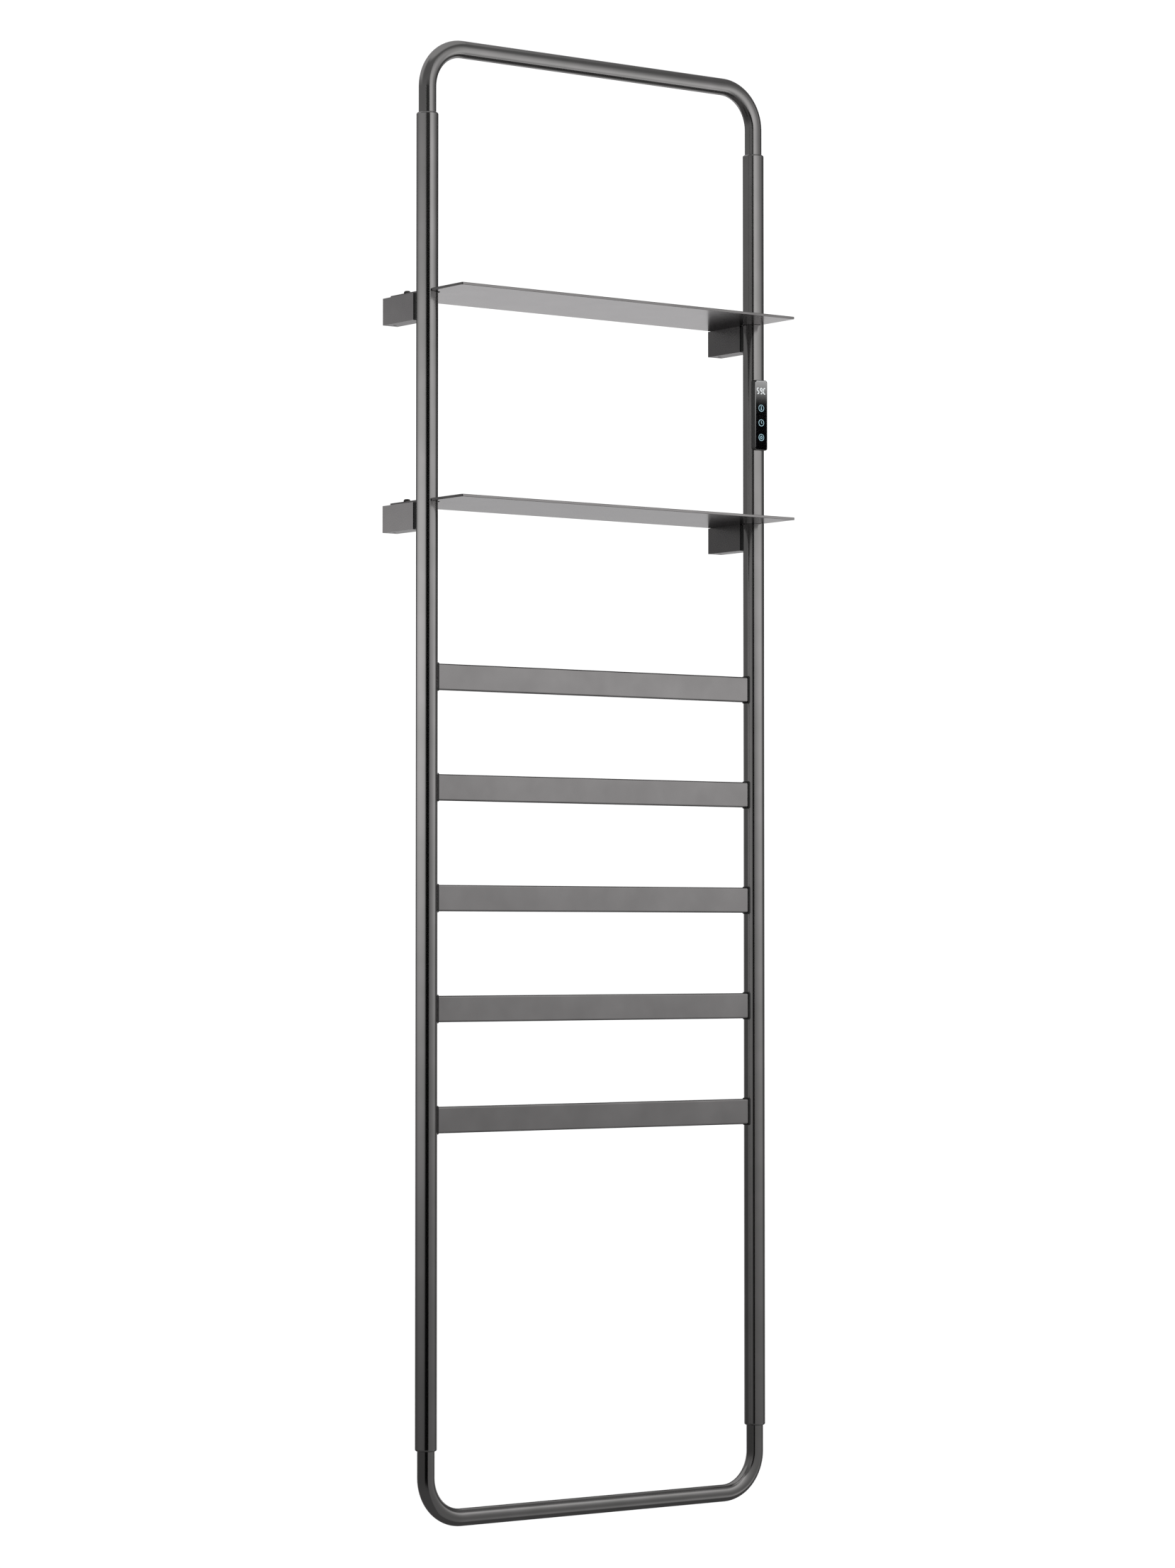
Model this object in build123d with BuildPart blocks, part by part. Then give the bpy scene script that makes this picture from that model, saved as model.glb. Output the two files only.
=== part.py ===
from build123d import *
import os
from math import sqrt

os.makedirs("parts", exist_ok=True)

# Wall-mounted heated towel rack, in millimetres.
# The origin is the centre of the four wall screws, in the plane of the wall.
# +X is to the right as seen from the room, +Y goes into the wall, +Z is up.

# Overall sizes
overall_height = 1690
top_reach = 427.2  # top of the rack above the centre of the wall screws
post_spacing = 475  # between the post axes
standoff = 76  # wall to post axis
bracket_pitch = 238.5  # upper to lower brackets, and so shelf to shelf

# Tubes
post_diameter = 25
post_wall = 1.5
loop_diameter = 20
loop_wall = 1.5
loop_bend = 47.5  # radius of the bend at the tube's centre
loop_show = 87.5  # end of a post to the outermost line of its loop
loop_insert = 30
collar_height = 3
collar_round = 2.2

# Flat heated bars
bar_count = 5
bar_pitch = 125.4
first_bar_drop = 302.2  # centre of the wall screws down to the top bar's centre
bar_height = 30
bar_thickness = 10
bar_wall = 1.2
bar_corner = 2
bar_end_gap = 2.5  # end of a bar, inside the post, to the post's bore
gasket_wall = 1.2
gasket_proud = 0.4
heater_play = 0.5  # heating strip to the bar's inner walls, front and back
heater_edge_play = 1.5
heater_end_gap = 30
heater_tail_radius = 1.2
heater_tail_spacing = 8

# Shelves
shelf_overhang = 3.5  # post axis to the end of a shelf
shelf_thickness = 3
shelf_reach = 74  # post axis to the front edge
shelf_wall_gap = 6
shelf_corner = 2
shelf_edge = 0.5
notch_gap = 2  # shelf to post, all round

# Wall brackets
bracket_width = 20
bracket_height = 31
bracket_wall = 2.2
bracket_end_wall = 3
bracket_round = 1.6
saddle_web = 1  # thinnest part of the spacer, between post and bracket
saddle_wrap = 4.5  # how far the spacer's cheeks reach round the post
saddle_inset = 0.75
block_depth = 20

# Fasteners
wall_screw_radius = 2.75
wall_screw_head_radius = 4.6
bolt_radius = 2.95
bolt_head_radius = 5
bolt_head_height = 6
bolt_head_room = 3  # bolt head to the terminal block
insert_radius = 4.2
insert_length = 6.7
insert_recess = 0.8
grub_radius = 2.2
grub_length = 8
grub_setback = 11  # wall to the grub screw's axis
grub_recess = 0.4
shelf_screw_radius = 2.45
shelf_screw_head_radius = 4
shelf_screw_head_height = 2.8
shelf_screw_setback = 36  # wall to the shelf screw's axis
shelf_nut_radius = 4.4
shelf_nut_height = 4.5
collar_screw_radius = 2
collar_screw_length = 6

# Touch control on the right post
control_centre = 26  # above the centre of the wall screws
housing_width = 19
housing_height = 84
housing_proud = 1.9  # front rim in front of the post
housing_depth = 9.4
housing_wall = 1.6
housing_floor = 1.2
housing_corner = 3
glass_width = 17.6
glass_height = 82
glass_thickness = 2
glass_proud = 0.6
glass_edge = 0.4
display_drop = 9.5  # top of the glass to the middle of the readout
display_width = 13
display_height = 10
display_depth = 2
first_key_drop = 32.9  # top of the glass to the middle of the top key
key_pitch = 17.5
key_count = 3
key_radius = 4.4
board_thickness = 1.2
board_play = 0.3
header_width = 10
header_height = 3
clip_width = 8
clip_rise = 2
clip_thickness = 1.5

# Mains and heater wiring inside the right post and its lower bracket
power_board_setback = 2.5  # post axis back to the board's front face
power_board_thickness = 1.6
power_board_height = 76
power_board_play = 0.4
trunk_radius = 2.5
trunk_shift = (4, 2)  # from the post axis: to the right, and to the front
splice_radius = 3.5
splice_length = 18
lead_radius = 2
lead_roof = 1.6  # bracket's top wall to the lead
lead_setback = 5.5  # post axis back to the lead's upright run
lead_bend = 5
inlet_radius = 3.2
grommet_wall = 0.6
grommet_length = 12
terminal_width = 15
terminal_length = 24
screw_path_gap = 0.55  # terminal block to the wall screw's path
tower_length = 7
tower_width = 8
sensor_radius = 2
sensor_length = 14

# Clearances
fit = 0.1  # round or square piece in its seat
slip = 0.05  # screw in its thread

# Worked-out sizes
post_radius = post_diameter / 2
post_bore = post_radius - post_wall
loop_radius = loop_diameter / 2
half_spacing = post_spacing / 2
rack_top = top_reach
rack_bottom = top_reach - overall_height
upper_post_end = rack_top - loop_show - collar_height
lower_post_end = rack_bottom + loop_show + collar_height
post_length = upper_post_end - lower_post_end
post_axis = (-half_spacing, half_spacing)
sides = {"left": -1, "right": 1}
levels = {"upper": bracket_pitch / 2, "lower": -bracket_pitch / 2}
bar_levels = [-first_bar_drop - n * bar_pitch for n in range(bar_count)]
bar_end = half_spacing - post_bore + bar_end_gap
shelf_width = post_spacing + 2 * shelf_overhang
bracket_reach = standoff - post_radius - saddle_web  # wall to the bracket's front end
cavity_width = bracket_width - 2 * bracket_wall
cavity_height = bracket_height - 2 * bracket_wall
cavity_end = bracket_reach - bracket_end_wall
slot_thickness = bar_thickness + 2 * gasket_wall
slot_height = bar_height + 2 * gasket_wall
control_x = half_spacing
glass_top = control_centre + glass_height / 2
display_level = glass_top - display_drop
key_levels = [glass_top - first_key_drop - n * key_pitch for n in range(key_count)]
housing_front = standoff + post_radius + housing_proud
housing_back = housing_front - housing_depth
glass_front = housing_front + glass_proud
glass_back = glass_front - glass_thickness
terminal_height = cavity_height / 2 - wall_screw_radius - screw_path_gap
inlet_level = levels["lower"] + (wall_screw_radius + cavity_height / 2 - fit) / 2
lead_level = levels["lower"] + cavity_height / 2 - lead_roof - lead_radius


def save(piece, name):
    piece.part.label = name
    export_step(piece.part, f"parts/{name}.step")


# Posts: round tubes with a slot for each bar, a hole for each bracket's insert and
# one near each end for the collar's screw. The right one also has the control's window.
for side, way in sides.items():
    x = way * half_spacing
    with BuildPart() as post:
        with BuildSketch(Plane.XY.offset(lower_post_end)):
            with Locations((x, -standoff)):
                Circle(post_radius)
                Circle(post_bore, mode=Mode.SUBTRACT)
        extrude(amount=post_length)
        with BuildSketch(Plane.YZ.offset(x)):
            with Locations(*[(-standoff, level) for level in bar_levels]):
                RectangleRounded(slot_thickness + 2 * fit, slot_height + 2 * fit, bar_corner)
        extrude(amount=-way * post_diameter, mode=Mode.SUBTRACT)
        with BuildSketch(Plane.XZ.offset(standoff)):
            with Locations(*[(x, level) for level in levels.values()]):
                Circle(insert_radius + slip)
            with Locations(
                (x, upper_post_end - loop_insert / 2), (x, lower_post_end + loop_insert / 2)
            ):
                Circle(collar_screw_radius + slip)
        extrude(amount=-post_diameter, mode=Mode.SUBTRACT)
        if side == "right":
            with BuildSketch(Plane.XZ.offset(housing_back - fit)):
                with Locations((x, control_centre)):
                    RectangleRounded(housing_width + 2 * fit, housing_height + 2 * fit, housing_corner)
            extrude(amount=post_diameter, mode=Mode.SUBTRACT)
            with BuildSketch(Plane.XZ.offset(standoff)):
                with Locations((x, lead_level)):
                    Circle(lead_radius + 2 * fit)
            extrude(amount=-post_diameter, mode=Mode.SUBTRACT)
    save(post, f"{side}_post")

# Loops: a thinner tube bent into a U, pushed into both posts at the top and at the bottom.
loop_span = {
    "top": (rack_top - loop_radius, upper_post_end - loop_insert, 1),
    "bottom": (rack_bottom + loop_radius, lower_post_end + loop_insert, -1),
}
for place, (cross_level, leg_end, up) in loop_span.items():
    with BuildPart() as loop:
        with BuildLine() as route:
            FilletPolyline(
                (-half_spacing, -standoff, leg_end),
                (-half_spacing, -standoff, cross_level),
                (half_spacing, -standoff, cross_level),
                (half_spacing, -standoff, leg_end),
                radius=loop_bend,
            )
        with BuildSketch(Plane(origin=(-half_spacing, -standoff, leg_end), z_dir=(0, 0, up))):
            Circle(loop_radius)
            Circle(loop_radius - loop_wall, mode=Mode.SUBTRACT)
        sweep(path=route.line)
        with BuildSketch(Plane.XZ.offset(standoff)):
            with Locations(*[(x, leg_end + up * loop_insert / 2) for x in post_axis]):
                Circle(collar_screw_radius + slip)
        extrude(amount=-loop_diameter, mode=Mode.SUBTRACT)
    save(loop, f"{place}_loop")

# Collars: a rounded ring that closes the end of each post, with a thin spigot round the loop.
post_ends = {"top": (upper_post_end, 1), "bottom": (lower_post_end, -1)}
for place, (end, up) in post_ends.items():
    for side, way in sides.items():
        x = way * half_spacing
        with BuildPart() as collar:
            with BuildSketch(Plane.XY.offset(end)):
                with Locations((x, -standoff)):
                    Circle(post_radius)
            extrude(amount=up * collar_height)
            far_edge = collar.edges().sort_by(Axis.Z)[-1 if up > 0 else 0]
            fillet(far_edge, collar_round)
            with BuildSketch(Plane.XY.offset(end)):
                with Locations((x, -standoff)):
                    Circle(post_bore - fit)
            extrude(amount=-up * loop_insert)
            with BuildSketch(Plane.XY.offset(end + up * collar_height)):
                with Locations((x, -standoff)):
                    Circle(loop_radius + fit)
            extrude(amount=-up * (collar_height + loop_insert), mode=Mode.SUBTRACT)
            with BuildSketch(Plane.XZ.offset(standoff)):
                with Locations((x, end - up * loop_insert / 2)):
                    Circle(collar_screw_radius + slip)
            extrude(amount=-post_diameter, mode=Mode.SUBTRACT)
        save(collar, f"{place}_{side}_collar")

# One set screw through the back of each collar holds its loop.
with BuildPart() as collar_screws:
    with BuildSketch(Plane.XZ.offset(standoff - post_radius + fit)):
        for end, up in post_ends.values():
            with Locations(*[(x, end - up * loop_insert / 2) for x in post_axis]):
                Circle(collar_screw_radius)
                RegularPolygon(collar_screw_radius / 2, 6, mode=Mode.SUBTRACT)
    extrude(amount=collar_screw_length)
save(collar_screws, "collar_screws")

# Bars: flat tubes between the posts.
for number, level in enumerate(bar_levels, start=1):
    with BuildPart() as bar:
        with BuildSketch(Plane.YZ.offset(-bar_end)):
            with Locations((-standoff, level)):
                RectangleRounded(bar_thickness, bar_height, bar_corner)
                RectangleRounded(
                    bar_thickness - 2 * bar_wall,
                    bar_height - 2 * bar_wall,
                    bar_corner - bar_wall,
                    mode=Mode.SUBTRACT,
                )
        extrude(amount=2 * bar_end)
    save(bar, f"flat_bar_{number}")

# Gaskets: a rubber ring round both ends of every bar, one node for each post.
for side, way in sides.items():
    with BuildPart() as gaskets:
        with BuildSketch(Plane.YZ.offset(way * (half_spacing - post_radius - gasket_proud))):
            with Locations(*[(-standoff, level) for level in bar_levels]):
                RectangleRounded(slot_thickness, slot_height, bar_corner)
                RectangleRounded(
                    bar_thickness + 2 * slip, bar_height + 2 * slip, bar_corner, mode=Mode.SUBTRACT
                )
        extrude(amount=way * (gasket_proud + post_wall + bar_end_gap / 2))
    save(gaskets, f"bar_gaskets_{side}")

# Heating strips: a flat element in each bar, its two tails running to the right post.
heater_end = bar_end - heater_end_gap
splice_x = half_spacing + trunk_shift[0]
for number, level in enumerate(bar_levels, start=1):
    with BuildPart() as heater:
        with BuildSketch(Plane.YZ.offset(-heater_end)):
            with Locations((-standoff, level)):
                Rectangle(
                    bar_thickness - 2 * bar_wall - 2 * heater_play,
                    bar_height - 2 * bar_wall - 2 * heater_edge_play,
                )
        extrude(amount=2 * heater_end)
        with BuildSketch(Plane.YZ.offset(heater_end)):
            with Locations(
                (-standoff, level - heater_tail_spacing / 2), (-standoff, level + heater_tail_spacing / 2)
            ):
                Circle(heater_tail_radius)
        extrude(amount=splice_x - splice_radius - heater_end)
    save(heater, f"heating_strip_{number}")

# Shelves: a thin plate notched round both posts, resting on the brackets.
shelf_depth = standoff + shelf_reach - shelf_wall_gap
shelf_middle = -shelf_wall_gap - shelf_depth / 2
for name, level in levels.items():
    underside = level + bracket_height / 2
    with BuildPart() as shelf:
        with BuildSketch(Plane.XY.offset(underside)):
            with Locations((0, shelf_middle)):
                RectangleRounded(shelf_width, shelf_depth, shelf_corner)
            with Locations(*[(x, -standoff) for x in post_axis]):
                Circle(post_radius + notch_gap, mode=Mode.SUBTRACT)
        extrude(amount=shelf_thickness)
        fillet(shelf.faces().sort_by(Axis.Z)[-1].outer_wire().edges(), shelf_edge)
        fillet(shelf.faces().sort_by(Axis.Z)[0].outer_wire().edges(), shelf_edge)
        with BuildSketch(Plane.XY.offset(underside)):
            with Locations(*[(x, -shelf_screw_setback) for x in post_axis]):
                Circle(shelf_screw_radius + fit)
        extrude(amount=shelf_thickness, mode=Mode.SUBTRACT)
    save(shelf, f"{name}_shelf")

# Brackets: a box tube from each post to the wall, closed at the post end.
# The right-hand lower one also carries the supply lead.
for name, level in levels.items():
    for side, way in sides.items():
        x = way * half_spacing
        carries_lead = (name, side) == ("lower", "right")
        with BuildPart() as bracket:
            with BuildSketch(Plane.XZ):
                with Locations((x, level)):
                    Rectangle(bracket_width, bracket_height)
            extrude(amount=bracket_reach)
            fillet(bracket.faces().sort_by(Axis.Y)[-1].edges(), bracket_round)
            with BuildSketch(Plane.XZ):
                with Locations((x, level)):
                    Rectangle(cavity_width, cavity_height)
            extrude(amount=cavity_end, mode=Mode.SUBTRACT)
            with BuildSketch(Plane.XZ.offset(cavity_end)):
                with Locations((x, level)):
                    Circle(bolt_radius + fit)
                if carries_lead:
                    with Locations((x, lead_level)):
                        Circle(lead_radius + 2 * fit)
            extrude(amount=bracket_end_wall, mode=Mode.SUBTRACT)
            with BuildSketch(Plane.XY.offset(level)):
                with Locations((x, -shelf_screw_setback)):
                    Circle(shelf_screw_radius + slip)
            extrude(amount=bracket_height, mode=Mode.SUBTRACT)
            with BuildSketch(Plane.XY.offset(level)):
                with Locations((x, -grub_setback)):
                    Circle(grub_radius + slip)
            extrude(amount=-bracket_height, mode=Mode.SUBTRACT)
        save(bracket, f"{name}_{side}_bracket")

        # Saddle: a black spacer that fits the bracket's flat end to the round post.
        with BuildPart() as saddle:
            with BuildSketch(Plane.XZ.offset(bracket_reach)):
                with Locations((x, level)):
                    Rectangle(bracket_width - 2 * saddle_inset, bracket_height - 2 * saddle_inset)
                    Circle(bolt_radius + fit, mode=Mode.SUBTRACT)
                if carries_lead:
                    with Locations((x, lead_level)):
                        Circle(lead_radius + 2 * fit, mode=Mode.SUBTRACT)
            extrude(amount=saddle_web + saddle_wrap)
            with BuildSketch(Plane.XY.offset(level - bracket_height / 2)):
                with Locations((x, -standoff)):
                    Circle(post_radius + fit)
            extrude(amount=bracket_height, mode=Mode.SUBTRACT)
        save(saddle, f"{name}_{side}_saddle")

        # Wall block: screwed to the wall first; the bracket slides over it and is locked
        # by a grub screw from below.
        with BuildPart() as block:
            with BuildSketch(Plane.XZ):
                with Locations((x, level)):
                    Rectangle(cavity_width - 2 * fit, cavity_height - 2 * fit)
                if carries_lead:
                    with Locations((x, inlet_level)):
                        Circle(inlet_radius, mode=Mode.SUBTRACT)
            extrude(amount=block_depth)
            if carries_lead:
                with BuildSketch(Plane.XZ):
                    with Locations((x, inlet_level)):
                        Circle(inlet_radius + grommet_wall + slip)
                extrude(amount=grommet_length, mode=Mode.SUBTRACT)
            with Locations(Plane(origin=(x, -block_depth, level), z_dir=(0, -1, 0))):
                CounterSinkHole(wall_screw_radius, wall_screw_head_radius, depth=block_depth)
            with BuildSketch(Plane.XY.offset(level - bracket_height / 2)):
                with Locations((x, -grub_setback)):
                    Circle(grub_radius + slip)
            extrude(amount=grub_recess + grub_length + slip, mode=Mode.SUBTRACT)
        save(block, f"{name}_{side}_wall_block")

corners = [(x, level) for level in levels.values() for x in post_axis]

# Cap screws and threaded inserts that hold the brackets to the posts.
with BuildPart() as bracket_bolts:
    with BuildSketch(Plane.XZ.offset(cavity_end - bolt_head_height)):
        with Locations(*corners):
            Circle(bolt_head_radius)
            RegularPolygon(bolt_radius, 6, mode=Mode.SUBTRACT)
    extrude(amount=bolt_head_height / 2)
    with BuildSketch(Plane.XZ.offset(cavity_end - bolt_head_height / 2)):
        with Locations(*corners):
            Circle(bolt_head_radius)
    extrude(amount=bolt_head_height / 2)
    with BuildSketch(Plane.XZ.offset(cavity_end)):
        with Locations(*corners):
            Circle(bolt_radius)
    extrude(amount=bracket_end_wall + saddle_web + insert_recess + insert_length - slip)
save(bracket_bolts, "bracket_bolts")

with BuildPart() as post_inserts:
    with BuildSketch(Plane.XZ.offset(standoff - post_radius + insert_recess)):
        with Locations(*corners):
            Circle(insert_radius)
            Circle(bolt_radius + slip, mode=Mode.SUBTRACT)
    extrude(amount=insert_length)
save(post_inserts, "post_inserts")

# Grub screws that lock the brackets on the wall blocks, one from below each bracket.
with BuildPart() as grub_screws:
    for level in levels.values():
        start = level - bracket_height / 2 + grub_recess
        with BuildSketch(Plane.XY.offset(start)):
            with Locations(*[(x, -grub_setback) for x in post_axis]):
                Circle(grub_radius)
                RegularPolygon(grub_radius / 2, 6, mode=Mode.SUBTRACT)
        extrude(amount=grub_length / 2)
        with BuildSketch(Plane.XY.offset(start + grub_length / 2)):
            with Locations(*[(x, -grub_setback) for x in post_axis]):
                Circle(grub_radius)
        extrude(amount=grub_length / 2)
save(grub_screws, "grub_screws")

# Button-head screws through the shelves, and the nuts under the brackets' top walls.
screw_depth = shelf_thickness + bracket_wall + shelf_nut_height
with BuildPart() as shelf_screws:
    for level in levels.values():
        seat = level + bracket_height / 2 + shelf_thickness
        with BuildSketch(Plane.XY.offset(seat)):
            with Locations(*[(x, -shelf_screw_setback) for x in post_axis]):
                Circle(shelf_screw_head_radius)
        extrude(amount=shelf_screw_head_height)
        fillet(
            shelf_screws.edges().filter_by(GeomType.CIRCLE).filter_by_position(
                Axis.Z, seat + shelf_screw_head_height - slip, seat + shelf_screw_head_height + slip
            ),
            shelf_screw_head_height * 0.8,
        )
        with BuildSketch(Plane.XY.offset(seat + shelf_screw_head_height)):
            with Locations(*[(x, -shelf_screw_setback) for x in post_axis]):
                RegularPolygon(shelf_screw_radius * 0.7, 6)
        extrude(amount=-shelf_screw_head_height / 2, mode=Mode.SUBTRACT)
        with BuildSketch(Plane.XY.offset(seat)):
            with Locations(*[(x, -shelf_screw_setback) for x in post_axis]):
                Circle(shelf_screw_radius)
        extrude(amount=-screw_depth)
save(shelf_screws, "shelf_screws")

with BuildPart() as shelf_nuts:
    for level in levels.values():
        with BuildSketch(Plane.XY.offset(level + cavity_height / 2)):
            with Locations(*[(x, -shelf_screw_setback) for x in post_axis]):
                RegularPolygon(shelf_nut_radius, 6)
                Circle(shelf_screw_radius + slip, mode=Mode.SUBTRACT)
        extrude(amount=-shelf_nut_height)
save(shelf_nuts, "shelf_nuts")

# Control housing: a narrow tray let into the front of the right post. Two clips, at its
# top and bottom, catch behind the post's wall.
pocket_width = glass_width + 2 * fit
pocket_height = glass_height + 2 * fit
well_width = housing_width - 2 * housing_wall
well_height = housing_height - 2 * housing_wall
glass_corner = housing_corner - (housing_width - glass_width) / 2
clip_front = standoff + sqrt(post_bore**2 - (clip_width / 2) ** 2) - fit
with BuildPart() as housing:
    with BuildSketch(Plane.XZ.offset(housing_back)):
        with Locations((control_x, control_centre)):
            RectangleRounded(housing_width, housing_height, housing_corner)
    extrude(amount=housing_depth)
    with BuildSketch(Plane.XZ.offset(clip_front - clip_thickness)):
        with Locations((control_x, control_centre)):
            Rectangle(clip_width, housing_height + 2 * clip_rise)
    extrude(amount=clip_thickness)
    with BuildSketch(Plane.XZ.offset(housing_back + housing_floor)):
        with Locations((control_x, control_centre)):
            Rectangle(well_width, well_height)
    extrude(amount=housing_depth, mode=Mode.SUBTRACT)
    with BuildSketch(Plane.XZ.offset(glass_back)):
        with Locations((control_x, control_centre)):
            RectangleRounded(pocket_width, pocket_height, glass_corner)
    extrude(amount=glass_thickness, mode=Mode.SUBTRACT)
    with BuildSketch(Plane.XZ.offset(housing_back)):
        with Locations((control_x, control_centre)):
            Rectangle(header_width + 2 * board_play, header_height + 2 * board_play)
    extrude(amount=housing_floor, mode=Mode.SUBTRACT)
save(housing, "control_housing")

with BuildPart() as glass:
    with BuildSketch(Plane.XZ.offset(glass_back)):
        with Locations((control_x, control_centre)):
            RectangleRounded(glass_width, glass_height, glass_corner)
    extrude(amount=glass_thickness)
    chamfer(glass.faces().sort_by(Axis.Y)[0].edges(), glass_edge)
save(glass, "control_glass")

# Control board, with the readout and the key sensors between it and the glass.
board_front = glass_back - display_depth
board_back = board_front - board_thickness
with BuildPart() as control_board:
    with BuildSketch(Plane.XZ.offset(board_back)):
        with Locations((control_x, control_centre)):
            Rectangle(well_width - 2 * board_play, well_height - 2 * board_play)
    extrude(amount=board_thickness)
save(control_board, "control_board")

with BuildPart() as display:
    with BuildSketch(Plane.XZ.offset(board_front)):
        with Locations((control_x, display_level)):
            Rectangle(display_width, display_height)
    extrude(amount=display_depth)
save(display, "display_module")

with BuildPart() as key_sensors:
    with BuildSketch(Plane.XZ.offset(board_front)):
        with Locations(*[(control_x, level) for level in key_levels]):
            Circle(key_radius)
    extrude(amount=display_depth)
save(key_sensors, "touch_key_sensors")

# Power board, upright behind the housing, with its parts on both faces.
power_front = standoff - power_board_setback
power_back = power_front - power_board_thickness
board_chord = sqrt(post_bore**2 - (power_board_setback + power_board_thickness) ** 2)
power_bottom = control_centre - power_board_height / 2
plug_size = (6, 3.5, 10)
relay_size = (10, 3.5, 16)
supply_size = (8, 4.5, 22)
with BuildPart() as power_board:
    with BuildSketch(Plane.XZ.offset(power_back)):
        with Locations((control_x, control_centre)):
            Rectangle(2 * (board_chord - power_board_play), power_board_height)
    extrude(amount=power_board_thickness)
    with BuildSketch(Plane.XZ.offset(power_front)):
        with Locations((control_x + trunk_shift[0], power_bottom + plug_size[2] / 2)):
            Rectangle(plug_size[0], plug_size[2])
    extrude(amount=plug_size[1])
    with BuildSketch(Plane.XZ.offset(power_front)):
        with Locations((control_x, control_centre + power_board_height / 4)):
            Rectangle(relay_size[0], relay_size[2])
    extrude(amount=relay_size[1])
    with BuildSketch(Plane.XZ.offset(power_back)):
        with Locations((control_x, power_bottom + plug_size[2] / 2)):
            Rectangle(plug_size[0], plug_size[2])
    extrude(amount=-plug_size[1])
    with BuildSketch(Plane.XZ.offset(power_back)):
        with Locations((control_x, control_centre)):
            Rectangle(supply_size[0], supply_size[2])
    extrude(amount=-supply_size[1])
save(power_board, "power_board")

# Header that joins the two boards through the slot in the housing's floor.
with BuildPart() as header:
    with BuildSketch(Plane.XZ.offset(power_front)):
        with Locations((control_x, control_centre)):
            Rectangle(header_width, header_height)
    extrude(amount=board_back - power_front)
save(header, "board_header")

# Heater trunk: the bundle from the bars up to the power board, with a splice at each bar.
trunk_place = (control_x + trunk_shift[0], -standoff - trunk_shift[1])
trunk_bottom = bar_levels[-1] - splice_length / 2
with BuildPart() as trunk:
    with BuildSketch(Plane.XY.offset(trunk_bottom)):
        with Locations(trunk_place):
            Circle(trunk_radius)
    extrude(amount=power_bottom - trunk_bottom)
    for level in bar_levels:
        with BuildSketch(Plane.XY.offset(level - splice_length / 2)):
            with Locations(trunk_place):
                Circle(splice_radius)
        extrude(amount=splice_length)
save(trunk, "heater_trunk")

# Temperature sensor: a capsule lying on the floor of the top bar, at its right end.
sensor_level = bar_levels[0] - bar_height / 2 + bar_wall + sensor_radius + fit
with BuildPart() as sensor:
    with BuildSketch(Plane.YZ.offset(bar_end - sensor_length)):
        with Locations((-standoff, sensor_level)):
            Circle(sensor_radius)
    extrude(amount=sensor_length)
save(sensor, "temperature_sensor")

# Inner supply lead: from the terminal block, through the saddle and up inside the post.
tower_front = cavity_end - bolt_head_height - bolt_head_room
with BuildPart() as lead:
    with BuildLine() as lead_route:
        FilletPolyline(
            (control_x, -tower_front, lead_level),
            (control_x, -standoff + lead_setback, lead_level),
            (control_x, -standoff + lead_setback, power_bottom),
            radius=lead_bend,
        )
    with BuildSketch(Plane.XZ.offset(tower_front)):
        with Locations((control_x, lead_level)):
            Circle(lead_radius)
    sweep(path=lead_route.line)
save(lead, "inner_supply_lead")

# Terminal block, standing on the lower right bracket's floor.
bracket_floor = levels["lower"] - cavity_height / 2
with BuildPart() as terminal:
    with BuildSketch(Plane.XZ.offset(tower_front - terminal_length)):
        with Locations((control_x, bracket_floor + terminal_height / 2)):
            Rectangle(terminal_width, terminal_height)
    extrude(amount=terminal_length)
    with BuildSketch(Plane.XZ.offset(tower_front - tower_length)):
        with Locations((control_x, bracket_floor + cavity_height / 2)):
            Rectangle(tower_width, cavity_height - 2 * fit)
    extrude(amount=tower_length)
save(terminal, "terminal_block")

# Rubber grommet that lines the supply cable's way in from the wall.
with BuildPart() as grommet:
    with BuildSketch(Plane.XZ):
        with Locations((control_x, inlet_level)):
            Circle(inlet_radius + grommet_wall)
            Circle(inlet_radius, mode=Mode.SUBTRACT)
    extrude(amount=grommet_length)
save(grommet, "supply_grommet")
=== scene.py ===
from math import asin, atan2, cos, degrees, exp, pi, radians, sin

import bmesh
import bpy
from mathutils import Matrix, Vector


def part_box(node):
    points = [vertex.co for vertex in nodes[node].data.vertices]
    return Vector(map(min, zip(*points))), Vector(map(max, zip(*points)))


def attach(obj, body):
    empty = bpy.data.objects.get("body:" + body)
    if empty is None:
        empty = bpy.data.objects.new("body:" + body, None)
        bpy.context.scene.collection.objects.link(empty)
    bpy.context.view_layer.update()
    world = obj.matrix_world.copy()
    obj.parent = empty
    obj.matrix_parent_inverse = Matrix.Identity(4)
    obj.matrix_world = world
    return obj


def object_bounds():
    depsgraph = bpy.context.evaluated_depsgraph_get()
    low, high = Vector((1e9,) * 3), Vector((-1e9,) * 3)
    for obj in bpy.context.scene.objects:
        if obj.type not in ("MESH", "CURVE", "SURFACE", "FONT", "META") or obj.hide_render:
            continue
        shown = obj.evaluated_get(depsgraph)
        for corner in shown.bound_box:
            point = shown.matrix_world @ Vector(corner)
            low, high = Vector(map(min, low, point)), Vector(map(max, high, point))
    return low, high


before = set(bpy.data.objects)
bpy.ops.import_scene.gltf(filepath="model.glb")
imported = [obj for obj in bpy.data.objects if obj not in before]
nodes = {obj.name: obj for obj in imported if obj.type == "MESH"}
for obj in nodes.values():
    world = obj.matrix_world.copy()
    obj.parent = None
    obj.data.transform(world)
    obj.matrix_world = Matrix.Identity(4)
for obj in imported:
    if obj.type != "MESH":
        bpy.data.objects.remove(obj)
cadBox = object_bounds()
mm = 0.001
print("frame loaded:", len(nodes), "parts")


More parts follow.
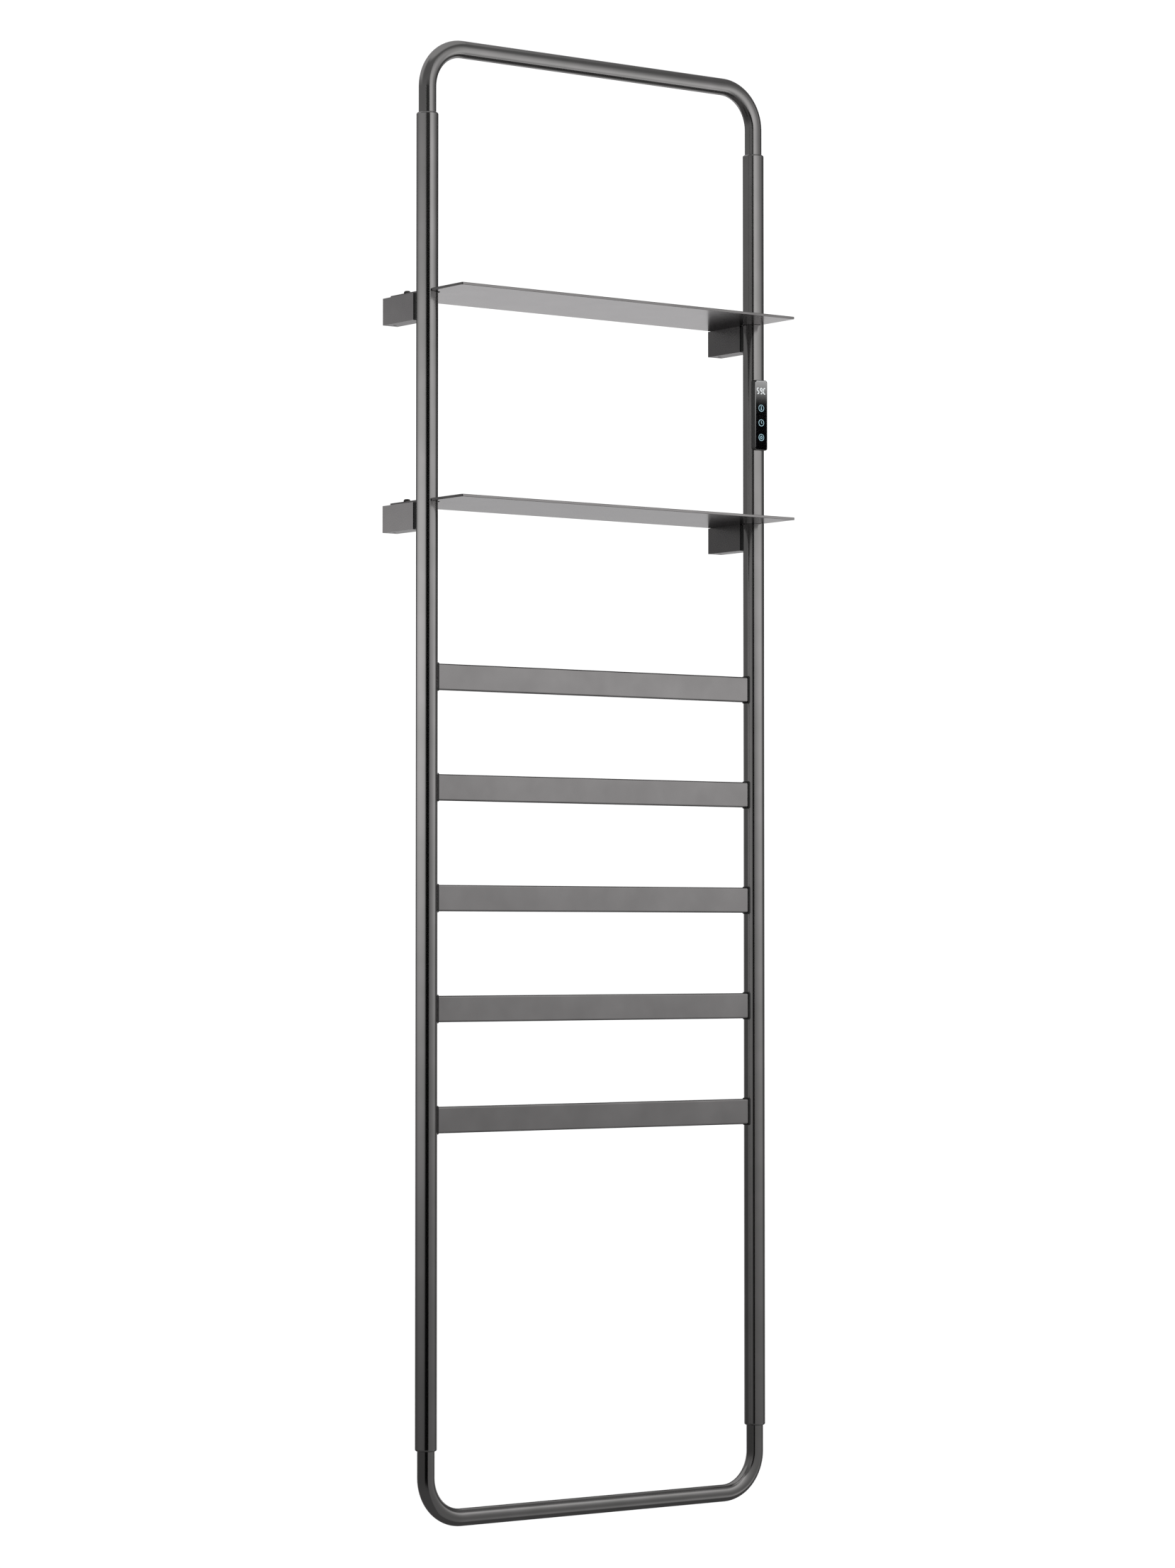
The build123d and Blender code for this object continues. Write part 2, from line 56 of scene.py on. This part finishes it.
def linear(hexColour):
    channels = [int(hexColour[i:i + 2], 16) / 255 for i in (1, 3, 5)]
    return [c / 12.92 if c <= 0.04045 else ((c + 0.055) / 1.055) ** 2.4 for c in channels] + [1.0]


def emptyTree(owner):
    owner.use_nodes = True
    owner.node_tree.nodes.clear()
    return owner.node_tree


def addNode(tree, kind, settings=None, links=None):
    node = tree.nodes.new(kind)
    for name, value in (settings or {}).items():
        if isinstance(name, int) or name in node.inputs:
            node.inputs[name].default_value = value
        else:
            setattr(node, name, value)
    for name, source in (links or {}).items():
        tree.links.new(source, node.inputs[name])
    return node


def newFinish(name, settings):
    finish = bpy.data.materials.new(name)
    tree = emptyTree(finish)
    shader = addNode(tree, "ShaderNodeBsdfPrincipled", settings)
    addNode(tree, "ShaderNodeOutputMaterial", links={"Surface": shader.outputs[0]})
    place = addNode(tree, "ShaderNodeTexCoord").outputs["Object"]  # metres, as the part lies
    return finish, tree, shader, place


# A grain or mottle: noise of a real size in millimetres. Nearly all of the noise lies
# between 0.3 and 0.7, and that span is turned to the range asked for.
def grain(tree, place, size, low, high, stretch=(1, 1, 1)):
    scaled = addNode(tree, "ShaderNodeMapping", {"Scale": stretch}, {"Vector": place})
    noise = addNode(
        tree,
        "ShaderNodeTexNoise",
        {"Scale": 1 / (size * mm), "Detail": 2.0, "Roughness": 0.6},
        {"Vector": scaled.outputs[0]},
    )
    span = addNode(
        tree,
        "ShaderNodeMapRange",
        {"From Min": 0.3, "From Max": 0.7, "To Min": low, "To Max": high},
        {"Value": noise.outputs["Fac"]},
    )
    return span.outputs[0]


# Most finishes are a slow change of tint, a finer grain in the roughness and, where the
# surface isn't smooth, the same grain as bumps. Sizes and depths are in millimetres.
def grainedFinish(look):
    finish, tree, shader, place = newFinish(look["name"], look["shader"])
    stretch = look.get("stretch", (1, 1, 1))
    tint = addNode(
        tree,
        "ShaderNodeMix",
        {"data_type": "RGBA", 6: linear(look["dark"]), 7: linear(look["light"])},
        {0: grain(tree, place, look["tintSize"], 0, 1, stretch)},
    )
    tree.links.new(tint.outputs[2], shader.inputs["Base Color"])
    tree.links.new(
        grain(tree, place, look["grainSize"], *look["roughness"], stretch), shader.inputs["Roughness"]
    )
    if "depth" in look:
        bump = addNode(
            tree,
            "ShaderNodeBump",
            {"Strength": 1.0, "Distance": look["depth"] * mm},
            {"Height": grain(tree, place, look["grainSize"], 0, 1, stretch)},
        )
        tree.links.new(bump.outputs[0], shader.inputs["Normal"])
    return finish


# Gunmetal coating, vacuum-deposited over fine-blasted steel: a dark neutral-grey metal with
# soft but clear-edged reflections. The blasted grain is about 0.2 mm and would not show, so
# it is drawn at 1.2 mm; a faint slow mottle keeps long tubes from looking printed.
gunmetal = dict(
    tintSize=45, grainSize=1.2,
    shader={"Metallic": 1.0, "Specular Tint": linear("#DDDCDD")},
)
# Silicone rubber, extruded: soft-looking sleeves, dull with a slight glow at the edges.
silicone = dict(
    tintSize=6, grainSize=1.5, roughness=(0.4, 0.55),
    shader={"IOR": 1.43, "Subsurface Weight": 0.05},
)
# Glass-filled polyamide, moulded: a fine spark-eroded texture, 0.4 mm on the tool and drawn
# at 0.8 mm, that breaks up the gloss.
polyamide = dict(tintSize=4, grainSize=0.8, depth=0.02, shader={"IOR": 1.53})
# Turned steel with a thin plating: small, hard, slightly uneven glints.
platedSteel = dict(tintSize=2.5, grainSize=0.7, shader={"Metallic": 1.0})

looks = {
    "coated_tube": dict(
        gunmetal, name="gunmetalTube", dark="#8D8C8B", light="#959393",
        roughness=(0.13, 0.15), depth=0.0004,
    ),
    "coated_sheet": dict(
        gunmetal, name="gunmetalSheet", dark="#868484", light="#8E8C8C",
        roughness=(0.20, 0.24), depth=0.001,
    ),
    "bracket": dict(  # box tube under the same coating, a little duller, its colour darkened as painted shade
        gunmetal, name="gunmetalBracketShaded", dark="#787677", light="#807E7E",
        roughness=(0.25, 0.31), depth=0.004,
    ),
    "gasket_rubber": dict(  # EPDM rubber, moulded: near black, dull, with a faint bloom
        name="epdmRubber", dark="#141414", light="#1E1D1D", tintSize=3, grainSize=1.2,
        roughness=(0.55, 0.75), shader={"IOR": 1.52},
    ),
    "heater_silicone": dict(silicone, name="heaterSilicone", dark="#8C3A2A", light="#A24631"),
    "cable_silicone": dict(silicone, name="cableSilicone", dark="#C9C4BB", light="#D8D4CC"),
    "black_plastic": dict(
        polyamide, name="blackPolyamide", dark="#101010", light="#171717", roughness=(0.45, 0.55)
    ),
    "housing_plastic": dict(
        polyamide, name="housingPolyamide", dark="#2B2B2B", light="#343434", roughness=(0.37, 0.47)
    ),
    "terminal_plastic": dict(
        polyamide, name="naturalPolyamide", dark="#D9D3C4", light="#E4DFD2", roughness=(0.40, 0.50)
    ),
    "block_aluminium": dict(  # extruded, sawn to length: pale, with fine drawing lines
        name="extrudedAluminium", dark="#B9BABC", light="#CDCED0", tintSize=0.9, grainSize=0.9,
        stretch=(1, 0.03, 1), roughness=(0.28, 0.42), depth=0.01, shader={"Metallic": 1.0},
    ),
    "screw_steel": dict(  # zinc: bright, on the hidden screws
        platedSteel, name="zincPlatedSteel", dark="#B5B5B8", light="#C9C9CB", roughness=(0.24, 0.36)
    ),
    "dark_screw_steel": dict(  # black oxide, on the screws that show
        platedSteel, name="blackOxideSteel", dark="#4B4947", light="#5A5856", roughness=(0.30, 0.42)
    ),
    "black_glass": dict(  # black-backed float glass, polished: deep black under a hard gloss
        name="blackGlass", dark="#050506", light="#08080A", tintSize=8, grainSize=2,
        roughness=(0.05, 0.08),
        shader={"IOR": 1.52, "Coat Weight": 1.0, "Coat Roughness": 0.03, "Coat IOR": 1.8},
    ),
}
finishes = {slot: grainedFinish(look) for slot, look in looks.items()}

# Circuit board, etched and lacquered: green solder mask with paler copper tracks under it.
board = dict(
    mask=("#1C5A34", "#226B3E"), track="#3E8F5B", trackPitch=4, trackWidth=0.03,
    grainSize=3, roughness=(0.3, 0.45),
)


def circuitBoard():
    finish, tree, shader, place = newFinish("circuitBoard", {"IOR": 1.5})
    tracks = addNode(
        tree,
        "ShaderNodeTexBrick",
        {
            "Color1": linear(board["mask"][0]),
            "Color2": linear(board["mask"][1]),
            "Mortar": linear(board["track"]),
            "Scale": 1 / (board["trackPitch"] * mm),
            "Mortar Size": board["trackWidth"],
        },
        {"Vector": place},
    )
    tree.links.new(tracks.outputs["Color"], shader.inputs["Base Color"])
    tree.links.new(grain(tree, place, board["grainSize"], *board["roughness"]), shader.inputs["Roughness"])
    return finish


finishes["circuit_board"] = circuitBoard()

# Each part keeps its shape and takes the finish of its material slot.
for name, part in nodes.items():
    for slot in part.material_slots:
        slotName = slot.material.name.split(".")[0]
        # The brackets take the darker copy of the gunmetal coating, whose darkness is painted shade.
        slot.material = finishes["bracket" if name.endswith("_bracket") else slotName]
print("finishes:", len(finishes))

# The readout and the key marks, lit from behind, stand a hair in front of the glass.
glassLow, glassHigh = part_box("control_glass")
glassMiddle = (glassLow.x + glassHigh.x) / 2
ink = dict(proud=0.05 * mm, thickness=0.04 * mm, patch=2, dimmest=0.85, brightest=1.1)


# Ink lit by diodes: an even pale glow, a little brighter and dimmer in small patches.
def litPrint(name, hexColour, strength):
    finish = bpy.data.materials.new(name)
    tree = emptyTree(finish)
    place = addNode(tree, "ShaderNodeTexCoord").outputs["Object"]
    uneven = grain(
        tree, place, ink["patch"], strength * ink["dimmest"], strength * ink["brightest"]
    )
    light = addNode(tree, "ShaderNodeEmission", {"Color": linear(hexColour)}, {"Strength": uneven})
    addNode(tree, "ShaderNodeOutputMaterial", links={"Surface": light.outputs[0]})
    return finish


# A flat shape in front of the glass: outlines are lists of (across, up) points about its
# centre, and its thickness is taken back towards the glass.
def flatPiece(name, outlines, across, up, finish):
    mesh = bmesh.new()
    front = glassLow.y - ink["proud"]
    for outline in outlines:
        mesh.faces.new([mesh.verts.new((across + x, front, up + z)) for x, z in outline])
    mesh.normal_update()
    for face in mesh.faces:
        if face.normal.y > 0:
            face.normal_flip()
    raised = bmesh.ops.extrude_face_region(mesh, geom=mesh.faces[:])
    for item in raised["geom"]:
        if isinstance(item, bmesh.types.BMVert):
            item.co.y += ink["thickness"]
    bmesh.ops.recalc_face_normals(mesh, faces=mesh.faces[:])
    data = bpy.data.meshes.new(name)
    mesh.to_mesh(data)
    mesh.free()
    data.materials.append(finish)
    piece = bpy.data.objects.new(name, data)
    bpy.context.scene.collection.objects.link(piece)
    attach(piece, "root")


# An arc of a band, as short four-cornered outlines that share their ends.
def band(radius, width, start=0.0, end=2 * pi, steps=40, centre=(0, 0)):
    angles = [start + (end - start) * n / steps for n in range(steps + 1)]
    edges = (radius - width / 2, radius + width / 2)
    rim = [[(centre[0] + r * sin(a), centre[1] + r * cos(a)) for r in edges] for a in angles]
    return [[one[0], one[1], two[1], two[0]] for one, two in zip(rim, rim[1:])]


# A straight bar with pointed ends.
def bar(x0, z0, x1, z1, width):
    along = Vector((x1 - x0, z1 - z0)).normalized() * width / 2
    side = Vector((-along.y, along.x))
    start, end = Vector((x0, z0)), Vector((x1, z1))
    return [
        tuple(start + side), tuple(start - along), tuple(start - side),
        tuple(end - side), tuple(end + along), tuple(end + side),
    ]


readout = dict(
    text="59C", height=7.6 * mm, width=3.55 * mm, gap=1.4 * mm, stroke=0.98 * mm,
    split=0.12,  # of the stroke, left open at each end of a segment
    drop=12.1 * mm, colour="#F2F8F9", strength=1.15,
)
segmentsOf = {"5": "afgcd", "9": "abfgcd", "C": "afed"}


# One segment of a seven-segment figure, lettered clockwise from the top with g across.
def segment(letter, width, height, stroke):
    w, h = width / 2, height / 2
    x0, z0, x1, z1 = {
        "a": (-w, h, w, h), "d": (-w, -h, w, -h), "g": (-w, 0, w, 0),
        "f": (-w, h, -w, 0), "e": (-w, 0, -w, -h), "b": (w, h, w, 0), "c": (w, 0, w, -h),
    }[letter]
    inset = Vector((x1 - x0, z1 - z0)).normalized() * stroke * (0.5 + readout["split"])
    return bar(x0 + inset.x, z0 + inset.y, x1 - inset.x, z1 - inset.y, stroke)


pitch = readout["width"] + readout["gap"]
stroke = readout["stroke"]
outlines = []
for number, sign in enumerate(readout["text"]):
    shift = (number - (len(readout["text"]) - 1) / 2) * pitch
    for letter in segmentsOf[sign]:
        shape = segment(letter, readout["width"] - stroke, readout["height"] - stroke, stroke)
        outlines.append([(x + shift, z) for x, z in shape])
flatPiece(
    "readout_digits", outlines, glassMiddle, glassHigh.z - readout["drop"],
    litPrint("litReadout", readout["colour"], readout["strength"]),
)

# Below it, three keys: a thermometer, the hands of a clock and a power sign, each in a ring.
keys = dict(
    drop=32.7 * mm, pitch=17.5 * mm, ring=3.8 * mm, line=0.62 * mm, thin=0.7 * mm,
    stem=(-0.4 * mm, 2.1 * mm), stemWidth=0.91 * mm, bulb=1.0 * mm, bulbDrop=1.2 * mm,
    minuteHand=(0, 1.8 * mm), hourHand=(1.1 * mm, -0.6 * mm),
    powerRing=1.5 * mm, powerGap=35, powerBar=(0.4 * mm, 1.9 * mm),
    colour="#B4DAE6", strength=0.95,
)
thin = keys["thin"]
bulb = band(keys["bulb"] / 2, keys["bulb"], steps=12, centre=(0, -keys["bulbDrop"]))
opening = radians(keys["powerGap"])
marks = {
    "warmth": [bar(0, keys["stem"][0], 0, keys["stem"][1], keys["stemWidth"])] + bulb,
    "timer": [bar(0, 0, *keys["minuteHand"], thin), bar(0, 0, *keys["hourHand"], thin)],
    "power": band(keys["powerRing"], thin, opening, 2 * pi - opening, 24)
    + [bar(0, keys["powerBar"][0], 0, keys["powerBar"][1], thin)],
}
litKey = litPrint("litKeyMark", keys["colour"], keys["strength"])
for number, (name, mark) in enumerate(marks.items()):
    level = glassHigh.z - keys["drop"] - number * keys["pitch"]
    flatPiece(f"{name}_key_ring", band(keys["ring"], keys["line"]), glassMiddle, level, litKey)
    flatPiece(f"{name}_key_mark", mark, glassMiddle, level, litKey)
print("readout and key marks done")

# The camera stands low and to the left, a long way back, with a long lens.
camera = dict(
    place=(-3.178, -4.3167, -0.6031), turn=36.758, tilt=1.988, lens=139.76, sensor=36, reach=200
)
viewer = bpy.data.objects.new("camera", bpy.data.cameras.new("camera"))
bpy.context.scene.collection.objects.link(viewer)
viewer.location = camera["place"]
viewer.rotation_euler = (radians(90 + camera["tilt"]), 0, -radians(camera["turn"]))
viewer.data.sensor_fit = "HORIZONTAL"
viewer.data.sensor_width = camera["sensor"]
viewer.data.lens = camera["lens"]
viewer.data.clip_end = camera["reach"]
bpy.context.scene.camera = viewer

# A white room: an even white sky and a pale floor below the rack.
studio = dict(
    white="#FFFFFF", brightness=1.08, floor="#FEFEFE", floorDrop=0.24, floorSize=40,
    paint={"Roughness": 0.9, "Specular IOR Level": 0.2},
)
world = bpy.data.worlds.new("whiteRoom")
bpy.context.scene.world = world
room = emptyTree(world)
sky = addNode(
    room, "ShaderNodeBackground",
    {"Color": linear(studio["white"]), "Strength": studio["brightness"]},
)
addNode(room, "ShaderNodeOutputWorld", links={"Surface": sky.outputs[0]})
bpy.context.scene.view_settings.view_transform = "Standard"
bpy.context.scene.view_settings.look = "None"


def stagePiece(name, mesh, finish, seenBy):
    data = bpy.data.meshes.new(name)
    mesh.to_mesh(data)
    mesh.free()
    data.materials.append(finish)
    piece = bpy.data.objects.new(name, data)
    bpy.context.scene.collection.objects.link(piece)
    for ray in ("camera", "diffuse", "glossy", "transmission", "volume_scatter", "shadow"):
        setattr(piece, f"visible_{ray}", ray in seenBy)
    return piece


floorLevel = cadBox[0][2] - studio["floorDrop"]
floorMesh = bmesh.new()
bmesh.ops.create_grid(floorMesh, x_segments=4, y_segments=4, size=studio["floorSize"])
bmesh.ops.translate(floorMesh, verts=floorMesh.verts[:], vec=(0, 0, floorLevel))
floorPaint = newFinish("paintedFloor", {**studio["paint"], "Base Color": linear(studio["floor"])})[0]
stagePiece("floor", floorMesh, floorPaint, ("camera", "diffuse", "shadow"))


# What the metal mirrors is white cloth lit by soft lamps from behind, seen in gloss only.
def glowingCloth(name, seeThrough):
    cloth = bpy.data.materials.new(name)
    cloth.cycles.emission_sampling = "NONE"
    tree = emptyTree(cloth)
    glow = addNode(tree, "ShaderNodeAttribute", {"attribute_name": "glow"})
    surface = addNode(tree, "ShaderNodeEmission", links={"Strength": glow.outputs["Fac"]})
    if seeThrough:
        clear = addNode(tree, "ShaderNodeBsdfTransparent")
        surface = addNode(
            tree, "ShaderNodeAddShader", links={0: surface.outputs[0], 1: clear.outputs[0]}
        )
    addNode(tree, "ShaderNodeOutputMaterial", links={"Surface": surface.outputs[0]})
    return cloth


def setGlow(piece, glowAt):
    layer = piece.data.attributes.new("glow", "FLOAT", "POINT")
    for vertex, value in zip(piece.data.vertices, layer.data):
        value.value = glowAt(vertex.co)


# A cloth lights only the parts in its list, or every part but those.
def linkLight(cloth, names, state):
    group = bpy.data.collections.new(cloth.name + "_parts")
    for name in names:
        group.objects.link(nodes[name])
        group.collection_objects[-1].light_linking.link_state = state
    cloth.light_linking.receiver_collection = group


def ease(low, high, value):
    share = min(max((value - low) / (high - low), 0), 1)
    return share * share * (3 - 2 * share)


# An upright cloth between two points of the floor plan, in small squares.
def hangCloth(name, cloth):
    (x0, y0), (x1, y1) = cloth["start"], cloth["end"]
    across, up = cloth.get("squares", (48, 48))
    mesh = bmesh.new()
    rows = [
        [
            mesh.verts.new((
                x0 + (x1 - x0) * i / across,
                y0 + (y1 - y0) * i / across,
                cloth["low"] + (cloth["high"] - cloth["low"]) * j / up,
            ))
            for i in range(across + 1)
        ]
        for j in range(up + 1)
    ]
    for lower, upper in zip(rows, rows[1:]):
        for i in range(across):
            mesh.faces.new((lower[i], lower[i + 1], upper[i + 1], upper[i]))
    return stagePiece(name, mesh, glowingCloth(cloth["finish"], cloth["seeThrough"]), ("glossy",))


# A cloth has an even glow, and each lamp behind it adds a soft spot of its own width that
# falls off above and below it. A ramp fades it in along its length, and a fade upwards.
def clothGlow(point, cloth):
    along = point.x if cloth["start"][1] == cloth["end"][1] else point.y
    glow = cloth["even"]
    for lamp in cloth.get("lamps", ()):
        aside = (along - lamp["along"]) / lamp["width"]
        up = point.z - lamp["up"]
        reach = lamp["above"] if up > 0 else lamp["below"]
        glow += lamp["power"] * exp(-aside ** 2 - (up / reach) ** 2)
    if "ramp" in cloth:
        glow *= ease(*cloth["ramp"], along)
    if "fade" in cloth:
        glow *= ease(*cloth["fade"], point.z)
    return glow


cloths = {
    # In front, to the right of the camera's view, 0.94 m from the wall.
    "front_cloth": dict(
        finish="frontCloth", seeThrough=False, notOn=["control_glass"],
        start=(-0.36, -0.94), end=(3.4, -0.94), low=-2.8, high=1.1, even=0.25,
        lamps=[
            dict(along=-0.1, up=0.5, width=0.7, above=0.45, below=0.45, power=0.72),
            dict(along=-0.1, up=0.1, width=0.35, above=0.5, below=0.3, power=0.25),
            dict(along=0.8, up=-0.12, width=0.95, above=0.5, below=0.7, power=0.85),
            dict(along=1.7, up=-0.45, width=0.55, above=0.8, below=0.7, power=0.22),
            dict(along=1.75, up=0.95, width=0.5, above=0.3, below=0.3, power=0.4),
            dict(along=1.7, up=-2.0, width=0.9, above=0.35, below=0.5, power=0.5),
        ],
    ),
    # At the left, for the left post, its collars and its brackets.
    "left_cloth": dict(
        finish="leftCloth", seeThrough=True,
        onlyOn=[
            "left_post", "top_left_collar", "bottom_left_collar",
            "upper_left_bracket", "lower_left_bracket",
        ],
        start=(-1.37, -1.6), end=(-1.37, 3.4), low=-2.2, high=1.8, squares=(96, 48),
        even=0.0, ramp=(-1.55, -0.65),
        lamps=[
            dict(along=0.1, up=-0.18, width=1.3, above=0.56, below=0.67, power=0.34),
            dict(along=0.8, up=-0.18, width=6.0, above=0.6, below=0.67, power=0.84),
        ],
    ),
    # A narrower one beside it, for the right post and its collars.
    "middle_cloth": dict(
        finish="middleCloth", seeThrough=True,
        onlyOn=["right_post", "top_right_collar", "bottom_right_collar"],
        start=(-1.36, -1.04), end=(-1.36, 0.53), low=-2.2, high=1.8, even=0.0,
        lamps=[dict(along=-0.3, up=-0.4, width=3.0, above=0.45, below=0.8, power=0.3)],
    ),
    # Behind the rack, for the underside of the upper shelf.
    "shelf_cloth": dict(
        finish="shelfCloth", seeThrough=True, onlyOn=["upper_shelf"],
        start=(-2.5, 2.0), end=(4.0, 2.0), low=-2.4, high=0.16, squares=(1, 1), even=0.25,
    ),
    # Low in front, for the lower side of the top loop.
    "loop_cloth": dict(
        finish="loopCloth", seeThrough=True, onlyOn=["top_loop"],
        start=(0.4, -0.93), end=(3.4, -0.93), low=-2.8, high=0.4, even=0.0,
        lamps=[dict(along=1.8, up=-1.35, width=0.65, above=0.75, below=0.7, power=0.9)],
    ),
    # The sheen across the top third of the glass, and the glints on its chamfers.
    "sheen_front": dict(
        finish="frontSheen", seeThrough=True, onlyOn=["control_glass"],
        start=(0.3, -0.9), end=(1.5, -0.9), low=0.12, high=0.5, squares=(8, 96),
        even=2.7, fade=(0.161, 0.2),
    ),
    "sheen_left": dict(
        finish="leftSheen", seeThrough=True, onlyOn=["control_glass"],
        start=(-0.9, -1.4), end=(-0.9, -0.5), low=0.0, high=0.6, squares=(8, 96),
        even=4.0, fade=(0.1, 0.26),
    ),
    "sheen_above": dict(
        finish="sheenAbove", seeThrough=True, onlyOn=["control_glass"],
        start=(0.9, -0.6), end=(0.9, 0.6), low=0.4, high=1.6, squares=(8, 96),
        even=4.0, fade=(0.4, 0.5),
    ),
}
for name, cloth in cloths.items():
    piece = hangCloth(name, cloth)
    setGlow(piece, lambda point: clothGlow(point, cloth))
    if "onlyOn" in cloth:
        linkLight(piece, cloth["onlyOn"], "INCLUDE")
    else:
        linkLight(piece, cloth["notOn"], "EXCLUDE")

# The tent behind them: dim, darker still low down, black past the camera, bright low down
# behind the rack, where the undersides of the shelves look, and bright overhead. Bearings
# are in degrees from the camera round to its right, and heights in degrees above the middle.
tent = dict(
    radius=4.5, middle=(0, 0, -0.42), segments=(144, 90), notOn=["control_glass"],
    dimLow=0.12, dimHigh=0.32, dimHeights=(-14, 18),
    right=0.16, rightFrom=(80, 95),
    behindLow=0.80, behindHigh=0.15, behindHeights=(2, 8), behindFrom=(130, 155),
    gap=0.005, gapFrom=(-16, -9), gapTo=(60, 80), gapBottom=(-30, -20), gapTop=(16, 30),
    above=0.25, aboveFrom=(20, 40),
    below=0.14, belowTo=(-40, -20),
    ceiling=0.7, ceilingFrom=(56, 68), asideFrom=(22, 32), frontFrom=(-95, -60), frontTo=(150, 170),
)
turn = radians(camera["turn"])
towardsCamera = Vector((-sin(turn), -cos(turn)))
towardsRight = Vector((cos(turn), -sin(turn)))


def tentGlow(point):
    flat = Vector((point.x, point.y))
    bearing = degrees(atan2(flat.dot(towardsRight), flat.dot(towardsCamera)))
    height = degrees(asin(max(-1, min(1, point.z / tent["radius"]))))
    glow = tent["dimLow"] + (tent["dimHigh"] - tent["dimLow"]) * ease(*tent["dimHeights"], height)
    glow += ease(*tent["rightFrom"], bearing) * (tent["right"] - glow)
    low = 1 - ease(*tent["behindHeights"], height)
    behind = tent["behindHigh"] + (tent["behindLow"] - tent["behindHigh"]) * low
    glow += ease(*tent["behindFrom"], abs(bearing)) * (behind - glow)
    past = ease(*tent["gapFrom"], bearing) * (1 - ease(*tent["gapTo"], bearing))
    past *= ease(*tent["gapBottom"], height) * (1 - ease(*tent["gapTop"], height))
    glow += past * (tent["gap"] - glow)
    glow += ease(*tent["aboveFrom"], height) * (tent["above"] - glow)
    glow += (1 - ease(*tent["belowTo"], height)) * (tent["below"] - glow)
    aside = 1 - ease(*tent["frontFrom"], bearing) * (1 - ease(*tent["frontTo"], bearing))
    overhead = max(ease(*tent["ceilingFrom"], height), aside * ease(*tent["asideFrom"], height))
    return glow + overhead * (tent["ceiling"] - glow)


tentMesh = bmesh.new()
around, upwards = tent["segments"]
bmesh.ops.create_uvsphere(tentMesh, u_segments=around, v_segments=upwards, radius=tent["radius"])
tentPiece = stagePiece("tent", tentMesh, glowingCloth("tentCloth", False), ("glossy",))
setGlow(tentPiece, tentGlow)
tentPiece.location = tent["middle"]
linkLight(tentPiece, tent["notOn"], "EXCLUDE")
print("room and lights done")
